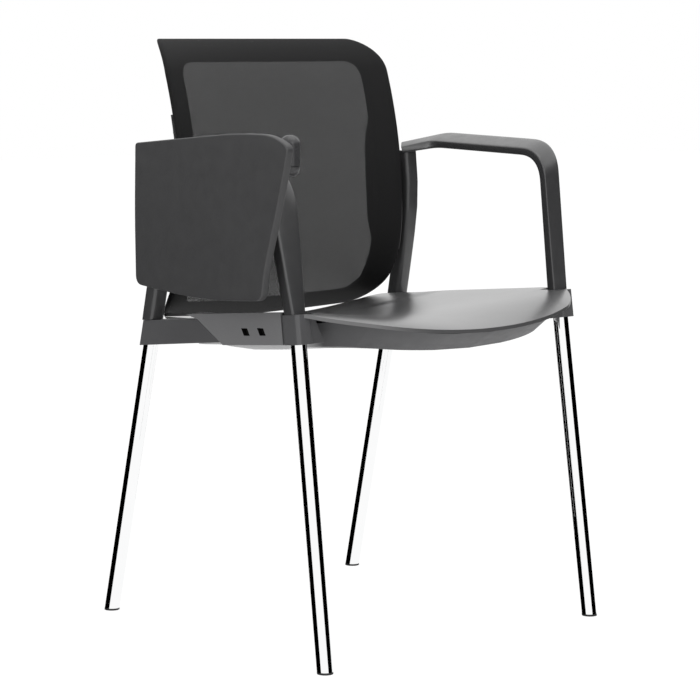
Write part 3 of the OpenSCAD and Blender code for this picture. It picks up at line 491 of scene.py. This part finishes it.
for v in cut.verts:
    kind, place, half = seat_rows[round((v.co.y + 1) / 2 * (len(seat_rows) - 1))]
    if kind == "across":
        x, y = v.co.x * half, place
    else:
        x = v.co.x * (seat_corner_x - front_corner_r * (1 - math.sqrt(1 - place * place)))
        y = mix(post_front_y, -front_edge(x), place)
    v.co = at(x, y, seat_top(x, y))
thicken(cut, (0, 0, -shell_t * mm))
shade(cut, 60)
seat_grey, tree, shader = finish_tree("seat_plastic")
shader.inputs["Specular IOR Level"].default_value = 1.0
shader.inputs["Coat Weight"].default_value = 1.0
shader.inputs["Coat IOR"].default_value = 1.6
shader.inputs["Coat Roughness"].default_value = 0.33
place = object_place(tree)
two_tones(tree, shader, (0.056, 0.056, 0.058), (0.06, 0.06, 0.062),
          spread(tree, cloud(tree, place, 7, 4), 0, 1, 0.25, 0.75))
roughen(tree, shader, cloud(tree, place, 30, 2), 0.33, 0.35)
bumps(tree, shader, cloud(tree, place, 2200, 1), 0.02, 0.0001)
seat = piece_of("seat", cut, seat_grey, "dark_grey_plastic", "chair", "seat_shell")
soften(seat, 0.0012, 3, 50)

boss_x, boss_low_r, boss_high_r, under_seat = 150, 7, 7.6, 1.5
boss_tilt = Matrix.Rotation(math.radians(-seat_fall), 4, "X")
cut = bmesh.new()
for y in (-110, 80):
    for x in (-boss_x, boss_x):
        low = rim(y) - (seat_dish + shell_t + under_seat) + 0.4
        high = seat_top(x, y) - shell_t + 1
        bmesh.ops.create_cone(cut, cap_ends=True, segments=32, radius1=boss_low_r * mm,
                              radius2=boss_high_r * mm, depth=(high - low) * mm,
                              matrix=Matrix.Translation(at(x, y, (low + high) / 2)) @ boss_tilt)
shade(cut, 40)
bosses = piece_of("seat_bosses", cut, seat_grey, "dark_grey_plastic", "chair")
soften(bosses, 0.0005, 2)

# Under-cover: a thin moulded tray under the shell, hung from the cross tubes. Its front rises
# into the curved grey apron behind the lip, and behind that it is pale.


def draw_out(cut, ring, places):
    """Extrude a loop of vertices to its next places."""
    pairs = [(ring[i - 1], ring[i]) for i in range(len(ring))]
    edges = [cut.edges.get(pair) or cut.edges.new(pair) for pair in pairs]
    fresh = set(bmesh.ops.extrude_edge_only(cut, edges=edges)["geom"])
    step = [next(e.other_vert(v) for e in v.link_edges if e.other_vert(v) in fresh) for v in ring]
    for v, place in zip(step, places):
        v.co = place
    return step


def drawn(rings, closed=False):
    """A skin drawn through rings of places, with its ends filled or joined."""
    cut = bmesh.new()
    first = [cut.verts.new(p) for p in rings[0]]
    ring = first
    for places in rings[1:] + (rings[:1] if closed else []):
        ring = draw_out(cut, ring, places)
    if closed:
        bmesh.ops.remove_doubles(cut, verts=cut.verts, dist=0.000001)
    else:
        for end in (first, ring):
            edges = [cut.edges.get((end[i - 1], end[i])) for i in range(len(end))]
            bmesh.ops.contextual_create(cut, geom=edges)
    bmesh.ops.recalc_face_normals(cut, faces=cut.faces)
    return cut


def squared(value, power):
    """A sine or cosine drawn out towards 1, which makes an oval squarer."""
    return math.copysign(abs(value) ** power, value)


tray_wall, tray_gap, tray_power, tray_steps = 2.5, 1.5, 0.38, 160
wedge_in, side_depth = 20, 44
tray_x = post_x - post_w / 2 - wedge_in - tray_gap
tray_rear_y, tray_top_drop, tray_centre = 120, 29, 0.4
tray_middle_y = (tray_rear_y - seat_front_y) / 2
tray_flat, tray_belly = 30, 2.5
hang_rear, hang_front, step_from, step_long = 2, 9.5, 20, 60
apron_back, apron_slant, apron_depth, apron_end_rise = 3, 41, 22.5, 31.5


def tray_at(i, inset, slant):
    """A place on the tray's outline, inset all round and further back at the apron."""
    a = 2 * math.pi * i / tray_steps
    x = (tray_x - inset) * squared(math.cos(a), tray_power)
    rear = tray_rear_y - inset
    middle = (rear - seat_front_y) / 2
    front = front_edge(x) - apron_back - inset - slant
    half = front + middle if math.sin(a) < 0 else rear - middle
    return x, middle + half * squared(math.sin(a), tray_power)


def apron_part(y):
    return clamp((-y - lip_from) / (seat_front_y - lip_from))


def tray_low(x, y):
    """The height of the tray's lower edge: below the side covers, and higher at the apron."""
    side = rim(y) - side_depth - mix(hang_rear, hang_front, ease((step_from - y) / step_long))
    rise = apron_end_rise * (x / seat_corner_x) ** 2
    front = rim(y) - lip_drop - shell_t - apron_depth + rise
    return mix(side, front, apron_part(y))


def tray_ring(inset, drop, up=0, share=1):
    ring = []
    for i in range(tray_steps):
        x, y = tray_at(i, inset, apron_slant)
        x, y = x * share, mix(tray_middle_y, y, share)
        ring.append(at(x, y, tray_low(x, y) - drop * (1 - apron_part(y)) + up))
    return ring


def tray_rim(inset):
    ring = []
    for i in range(tray_steps):
        x, y = tray_at(i, inset, 0)
        front = seat_top(x, y) - shell_t - tray_gap
        ring.append(at(x, y, mix(rim(y) - tray_top_drop, front, apron_part(y))))
    return ring


cut = drawn([tray_ring(tray_flat, tray_belly, 0, tray_centre), tray_ring(tray_flat, tray_belly),
             tray_ring(12, 1.4), tray_ring(0, 0), tray_rim(0), tray_rim(2 * tray_wall),
             tray_ring(tray_wall, 0, tray_wall), tray_ring(tray_flat, tray_belly, tray_wall),
             tray_ring(tray_flat, tray_belly, tray_wall, tray_centre)])
shade(cut, 40)
apron_grey = moulded("apron_plastic", (0.1, 0.1, 0.103), (0.11, 0.11, 0.113), 0.45, 0.06, 0.1)
pale_from, pale_to = -0.165, -0.125
tree = apron_grey.node_tree
colour = tree.nodes["Principled BSDF"].inputs["Base Color"]
apron_tone = colour.links[0].from_socket
split = tree.nodes.new("ShaderNodeSeparateXYZ")
tree.links.new(object_place(tree), split.inputs[0])
pale = tree.nodes.new("ShaderNodeMix")
pale.data_type = "RGBA"
pale.inputs["B"].default_value = (0.8, 0.8, 0.805, 1)
tree.links.new(spread(tree, split.outputs["Y"], 0, 1, pale_from, pale_to),
               pale.inputs["Factor"])
tree.links.new(apron_tone, pale.inputs["A"])
tree.links.new(pale.outputs["Result"], colour)
piece_of("under_cover", cut, apron_grey, "pale_grey_plastic", "chair", "seat_cover")

# Arms: one moulding each, post, bend, armrest and the turn in to the upright. The right one
# carries the round foot of the tablet's knob, and is cut away below it.
arm_z, arm_out_x, arm_w = 702, 285, 46
arm_in_x = arm_out_x - arm_w
arm_fall, arm_nose, arm_in_t, arm_t = 13, 6, 11.5, 22
arm_front_y, arm_rear_y = 153, 75
arm_crown = 0.06
upright_top_z = arm_z - 34
foot_shares = ((-0.48, 0.41), (-0.5, -0.22), (0.52, -0.38), (0.48, 0.6))
arm_drops = (arm_fall + arm_in_t, arm_fall, 0, arm_t)
front_steps = ((1, -3), (0, -15), (2, 0), (-8, 19))
rear_steps = ((1, -15), (0, -3), (2, 3), (-8, -9))
end_steps = ((-19, -40, 1), (-20, -37, 10), (2, -15, 18), (6, -16, 0.3))


def bend(a, b, c, reach, n):
    """A round between two straight runs that meet at b, from a reach before to one after."""
    p = b + reach * (a - b).normalized()
    q = b + reach * (c - b).normalized()
    shares = [i / n for i in range(n + 1)]
    return [(1 - t) ** 2 * p + 2 * t * (1 - t) * b + t ** 2 * q for t in shares]


def arm_edge(k, reach):
    """One of the four long edges of an arm, from the post's foot to the upright."""
    foot_x = post_x + foot_shares[k][0] * post_w
    foot_y = post_y + foot_shares[k][1] * post_d
    foot = Vector((foot_x, foot_y, rim(foot_y) - post_foot))
    x = arm_in_x if k < 2 else arm_out_x
    front = Vector((x + front_steps[k][0], -arm_front_y + front_steps[k][1],
                    arm_z - arm_nose - arm_drops[k]))
    rear = Vector((x + rear_steps[k][0], arm_rear_y + rear_steps[k][1], arm_z - arm_drops[k]))
    end = Vector((upright_x, upright_y, upright_top_z)) + Vector(end_steps[k])
    run = bend(foot, front, rear, reach, 12)
    turn = bend(front, rear, end, 14, 6)
    lower = [mix(foot, run[0], t) for t in (0.02, 0.3, 0.6, 0.85)]
    flat = [mix(run[-1], turn[0], t) for t in (0.25, 0.5, 0.75)]
    close = [mix(turn[-1], end, t) for t in (0.5, 0.97)]
    return [foot] + lower + run + flat + turn + close + [end]


def arm_ring(a, b, c, d):
    """A section between the four edges, with its corners rounded and its sides crowned."""
    m = (a + b + c + d) / 4
    out = [mix(a, b, 0.1), mix(a, b, 0.5), mix(a, b, 0.93),
           mix(b, c, 0.04), mix(b, c, 0.3), mix(b, c, 0.6), mix(c, b, 0.16),
           mix(mix(c, b, 0.04), d, 0.053), mix(c, d, 0.24), mix(c, d, 0.6),
           mix(d, c, 0.16), mix(d, a, 0.16), mix(a, d, 0.4), mix(a, d, 0.08)]
    for k in (4, 5, 9):
        out[k] = out[k] + arm_crown * (out[k] - m)
    return out


arm_black = moulded("arm_plastic", (0.04, 0.04, 0.0415), (0.046, 0.046, 0.0475), 0.33, 0.07,
                    0.7, 0.3)
for side, name, node, reaches in ((1, "armrest_left", "arm_left", (36, 44, 48, 30)),
                                  (-1, "armrest_right", "arm_right", (66, 82, 48, 30))):
    edges = [arm_edge(k, reach) for k, reach in enumerate(reaches)]
    cut = drawn([[at(side * p.x, p.y, p.z) for p in arm_ring(*four)] for four in zip(*edges)])
    crease = cut.edges.layers.float.new("crease_edge")
    for edge in cut.edges:
        if any(len(face.verts) > 4 for face in edge.link_faces):
            edge[crease] = 1
    shade(cut, 40)
    arm = piece_of(name, cut, arm_black, "black_plastic", "chair", node)
    smooth = arm.modifiers.new("smooth_skin", "SUBSURF")
    smooth.levels = smooth.render_levels = 2

# Knob foot: the round boss and web under the swivel, moulded in one with the right arm.
pivot_x, pivot_y = arm_out_x - arm_w / 2, -184
boss_low, boss_h, knob_r = arm_z - 39, 12, 14
web_size = (16 * mm, 37 * mm, 9 * mm)
knob_black = moulded("knob_plastic", (0.045, 0.045, 0.047), (0.05, 0.05, 0.052), 0.28, 0.06)


def turned(name, shares, low, height, body, *stands_for):
    """A round piece about the swivel's middle, spun from shares of its radius and height."""
    cut = bmesh.new()
    line = [cut.verts.new(at(-pivot_x + r * knob_r, pivot_y, low + h * height)) for r, h in shares]
    edges = [cut.edges.new(pair) for pair in zip(line, line[1:])]
    bmesh.ops.spin(cut, geom=line + edges, cent=at(-pivot_x, pivot_y, 0), axis=(0, 0, 1),
                   angle=math.radians(360), steps=64, use_merge=True)
    bmesh.ops.remove_doubles(cut, verts=cut.verts, dist=0.000002)
    bmesh.ops.recalc_face_normals(cut, faces=cut.faces)
    shade(cut, 50)
    piece_of(name, cut, knob_black, "black_plastic", body, *stands_for)


turned("knob_foot", ((0, 0), (0.4, 0), (0.58, 0.06), (0.72, 0.16), (0.84, 0.32), (0.92, 0.5),
                     (0.97, 0.74), (1, 1), (0, 1)), boss_low, boss_h, "chair")
cut = bmesh.new()
web_middle = Matrix.Translation(at(-pivot_x, pivot_y + 18.5, boss_low + 7.5))
bmesh.ops.create_cube(cut, size=1, matrix=web_middle @ Matrix.Diagonal((*web_size, 1)))
bmesh.ops.bevel(cut, geom=cut.edges[:], offset=0.0012, offset_type="OFFSET", segments=3,
                profile=0.5, affect="EDGES", material=-1)
shade(cut, 40)
piece_of("knob_web", cut, knob_black, "black_plastic", "chair")

# Rear uprights: oval plastic mouldings over the spigots, each with a thin wing that is
# screwed to the back frame.
upright_shares = (0, 0.26, 0.44, 0.62, 0.8, 1)
upright_in = (-0.19, -0.14, -0.1, -0.08, -0.04, 0.08)
upright_fore = (0.02, 0.23, 0.37, 0.47, 0.5, 0.48)
upright_w, upright_d, upright_power = 26, 61, 0.55
into_arm = 4.5
upright_rings, upright_steps = 24, 28


def along(table, t):
    """The value between the entries of a table at a share of an upright's height."""
    for i in range(5):
        if t <= upright_shares[i + 1]:
            u = (t - upright_shares[i]) / (upright_shares[i + 1] - upright_shares[i])
            return mix(table[i], table[i + 1], u)


for side, name in ((1, "left"), (-1, "right")):
    rings = []
    for step in range(upright_rings + 1):
        t = step / upright_rings
        z = upright_low_z + (upright_top_z + into_arm - upright_low_z) * t
        x = upright_x - along(upright_in, t) * upright_w
        y = upright_y - along(upright_fore, t) * upright_d
        ring = []
        for j in range(upright_steps):
            a = 2 * math.pi * j / upright_steps
            px = x + upright_r * squared(math.cos(a), upright_power)
            py = y + upright_r * squared(math.sin(a), upright_power)
            ring.append(at(side * px, py, rim(py) - upright_foot if step == 0 else z))
        rings.append(ring)
    cut = drawn(rings)
    shade(cut, 40)
    post = piece_of("upright_post_" + name, cut, arm_black, "black_plastic", "chair",
                    "upright_" + name)
    soften(post, 0.0012, 3, 50)

# Wings: thin plates moulded with the uprights, behind the side bands of the back frame. Two
# screws on each side go through them into the frame.
back_x, back_top_z, back_low_z, back_y = 213, 843, 440, 105
back_bow, back_t, lumbar_z = 42, 15, 600
low_sweep, top_sweep = 66, 52
roll_r = 50
roll_z = back_top_z - 0.9 * roll_r
wing_t, wing_reach, wing_inset, wing_top_z, wing_low_z = 5, 32, 10, 735, 520
wing_depth = back_t + 1.2


def side_y(z):
    """How far back the sides of the back are: least at the lumbar, rolled over at the top."""
    if z < lumbar_z:
        return back_y + low_sweep * ((lumbar_z - z) / (lumbar_z - back_low_z)) ** 3
    roll = roll_r - math.sqrt(roll_r ** 2 - (z - roll_z) ** 2) if z > roll_z else 0
    return back_y + top_sweep * ((z - lumbar_z) / (back_top_z - lumbar_z)) ** 1.9 + roll


def back_face(x, z):
    return side_y(z) + back_bow * (1 - (x / back_x) ** 2)


for side, name in ((1, "left"), (-1, "right")):
    cut = bmesh.new()
    bmesh.ops.create_grid(cut, x_segments=8, y_segments=48, size=1)
    for v in cut.verts:
        t = (1 - v.co.y) / 2
        z = mix(wing_top_z, wing_low_z, t)
        reach = wing_reach * math.sqrt(max(0.004, 1 - abs(2 * t - 1) ** 3))
        outer = back_x - wing_inset if z > upright_top_z - 10 else upright_x
        x = mix(back_x - wing_inset - reach, outer, (v.co.x + 1) / 2)
        v.co = at(side * x, back_face(x, z) + wing_depth, z)
    thicken(cut, (0, wing_t * mm, 0))
    shade(cut, 40)
    wing = piece_of("back_wing_" + name, cut, arm_black, "black_plastic", "chair")
    soften(wing, 0.001, 3, 50)
rounded_copy("frame_screws", "back_screws", 0.0003, zinc, "chair", 2)

# Back frame: one moulded ring that follows the curved back, open in the middle. Its top edge
# rolls back and its lower edge hangs down between the corners.
top_corner, low_corner, inner_corner = (34, 50), (42, 46), (24, 24)
edge_r, edge_t, edge_w = 2.5, 10, 11
band_at_top, band_at_foot, band_above, band_below = 37, 40, 34, 25
hang, hang_from = 15, 110


def quarter(w, z, r, start):
    """A quarter of an oval, clockwise from an angle."""
    turns = [start - 90 * j / 16 for j in range(17)]
    return [(w + r[0] * cos(a), z + r[1] * sin(a)) for a in turns]


def between(a, b):
    return [(mix(a[0], b[0], j / 24), mix(a[1], b[1], j / 24)) for j in range(1, 24)]


def back_loop(top_w, low_w, top, low, top_r, low_r):
    """A loop of places round the back, as seen from the front, with oval corners."""
    p = quarter(top_w - top_r[0], top - top_r[1], top_r, 90)
    q = quarter(low_w - low_r[0], low + low_r[1], low_r, 0)
    half = p + between(p[-1], q[0]) + q
    other = [(-x, z) for x, z in reversed(half)]
    return half + between(half[-1], other[0]) + other + between(other[-1], half[0])


def outer_loop(inset):
    wide = back_x - inset
    return back_loop(wide, wide, back_top_z - inset, back_low_z + inset, top_corner, low_corner)


def on_back(p, depth):
    """A place of a loop, laid on the curved back at a depth behind its face."""
    x, z = p
    fade = max(0, 1 - (z - back_low_z) / hang_from)
    z -= hang * fade * (1 - (x / back_x) ** 2)
    return at(x, back_face(x, z) + depth, z)


def halfway(a, b, t=0.5):
    return [(mix(p[0], q[0], t), mix(p[1], q[1], t)) for p, q in zip(a, b)]


inner_loop = back_loop(back_x - band_at_top, back_x - band_at_foot, back_top_z - band_above,
                       back_low_z + band_below, inner_corner, inner_corner)
outer, face, rear = outer_loop(0), outer_loop(edge_r), outer_loop(edge_w)
arc = edge_r * (1 - math.sqrt(0.5))
section = [(outer, edge_t - edge_r), (outer, edge_r), (outer_loop(arc), arc), (face, 0),
           (halfway(face, inner_loop, 0.3), 0), (halfway(face, inner_loop, 0.65), 0),
           (inner_loop, 0), (inner_loop, edge_t), (halfway(face, inner_loop), back_t),
           (rear, back_t), (face, edge_t)]
cut = drawn([[on_back(loop[i], depth) for loop, depth in section] for i in range(len(outer))],
            closed=True)
shade(cut, 40)
frame_black = moulded("frame_plastic", (0.013, 0.013, 0.0135), (0.015, 0.015, 0.0155), 0.5, 0.1)
ring = piece_of("back_ring", cut, frame_black, "black_plastic", "chair", "back_frame")
soften(ring, 0.0012, 3, 40)

# Back mesh: black polyester net, stretched over the frame and glued round its edge. Light
# comes through its small openings where the frame leaves it free.
net_lift, net_proud, net_pitch, net_cut = 0.7, 0.4, 0.0023, 0.98
net_rings = [(outer_loop(-net_proud), 5), (outer_loop(-net_proud), edge_r),
             (outer_loop(arc - net_proud), arc - net_proud), (face, -net_lift)]
net_rings += [(halfway(face, inner_loop, t), -net_lift) for t in (0.25, 0.5, 0.75)]
back_middle = (back_top_z + back_low_z) / 2
for share in (1, 0.9, 0.8, 0.7, 0.6, 0.5, 0.4, 0.3, 0.2, 0.1, 0.02):
    net_rings.append(([(x * share, mix(back_middle, z, share)) for x, z in inner_loop],
                      -net_lift))
net_places = [[on_back(p, depth) for p in loop] for loop, depth in net_rings]
cut = bmesh.new()
net_edge = [cut.verts.new(p) for p in net_places[0]]
for places in net_places[1:]:
    net_edge = draw_out(cut, net_edge, places)
cut.faces.new(net_edge)
bmesh.ops.recalc_face_normals(cut, faces=cut.faces)
if sum(f.normal.y * f.calc_area() for f in cut.faces) > 0:
    bmesh.ops.reverse_faces(cut, faces=cut.faces)
net_area = sum(f.calc_area() for f in cut.faces)
shade(cut, 60)
net_black, tree, shader = finish_tree("net_weave")
shader.inputs["Base Color"].default_value = (0.009, 0.009, 0.0094, 1)
shader.inputs["Roughness"].default_value = 0.7
shader.inputs["Specular IOR Level"].default_value = 0.2
split = tree.nodes.new("ShaderNodeSeparateXYZ")
tree.links.new(object_place(tree), split.inputs[0])


def maths(tree, what, a, b=0.0):
    step = tree.nodes.new("ShaderNodeMath")
    step.operation = what
    for k, value in enumerate((a, b)):
        if isinstance(value, (int, float)):
            step.inputs[k].default_value = value
        else:
            tree.links.new(value, step.inputs[k])
    return step.outputs[0]


across, upward = [
    maths(tree, "SINE", maths(tree, "MULTIPLY", split.outputs[way], 2 * math.pi / net_pitch))
    for way in ("X", "Z")]
weave = maths(tree, "MULTIPLY", across, upward)
bumps(tree, shader, weave, 0.15, 0.0003)
tree.links.new(spread(tree, weave, 1, 0, 0.81, 0.87), shader.inputs["Alpha"])
net = piece_of("back_net", cut, net_black, "black_mesh", "chair", "back_mesh")

# Swivel: a round barrel that turns on the pin in the arm's foot, with a bracket and knuckles
# for the hinge, a thin washer below it and a domed cap pressed on top.
cap_low, cap_h = arm_z + 4, 11
for name, node, width in (("swivel_washer", "pivot_washer", 0.0004),
                          ("swivel_body", "swivel_barrel", 0.001)):
    rounded_copy(name, node, width, knob_black, "swivel")
turned("knob_cap", ((0, 0), (1, 0), (0.985, 0.14), (0.94, 0.3), (0.86, 0.47), (0.75, 0.63),
                    (0.61, 0.78), (0.45, 0.89), (0.25, 0.97), (0, 1)),
       cap_low, cap_h, "swivel", "pivot_cap")
rounded_copy("tablet_leaf", "hinge_leaf", 0.0004, zinc, "tablet", 2)

# Writing tablet: one grey moulded board with round edges, screwed to the hinge leaf. It hangs
# outside the arm at rest.
tablet_in_x, tablet_t, tablet_edge = arm_out_x + 9, 12, 2.5
tablet_l, tablet_h = 318, 229
tablet_front_y = pivot_y - 34
tablet_top_z = arm_z + 4 + 13
tablet_shares = ((0.06, 0.998, 0.07), (0.3, 1, 0.14), (0.99, 0.914, 0.016), (1, 0.48, 0.12),
                 (0.995, 0.05, 0.04), (0.53, -0.005, 0.25), (0.13, 0.035, 0.045),
                 (0.115, 0.19, 0.06), (0, 0.7, 0.12), (-0.042, 0.935, 0.03))


def tablet_corner(k):
    along_share, up_share, _ = tablet_shares[k % len(tablet_shares)]
    return Vector((0, tablet_front_y + along_share * tablet_l,
                   tablet_top_z - (1 - up_share) * tablet_h))


tablet_line = []
for k, share in enumerate(tablet_shares):
    tablet_line += bend(tablet_corner(k - 1), tablet_corner(k), tablet_corner(k + 1),
                        share[2] * tablet_l, 12)
tablet_middle = Vector((0, tablet_front_y + tablet_l / 2, tablet_top_z - tablet_h / 2))


def tablet_ring(x, inset):
    ring = []
    for p in tablet_line:
        q = p + inset * (tablet_middle - p).normalized()
        ring.append(at(-x, q.y, q.z))
    return ring


rings = []
for x, way, turns in ((tablet_in_x + tablet_t, -1, range(0, 91, 18)),
                      (tablet_in_x, 1, range(90, -1, -18))):
    for a in turns:
        rings.append(tablet_ring(x + way * tablet_edge * (1 - cos(a)),
                                 tablet_edge * (1 - sin(a))))
cut = drawn(rings)
shade(cut, 40)
tablet_grey = moulded("tablet_plastic", (0.047, 0.047, 0.0485), (0.05, 0.05, 0.0515), 0.45, 0.08)
piece_of("writing_board", cut, tablet_grey, "tablet_grey", "tablet", "tablet")
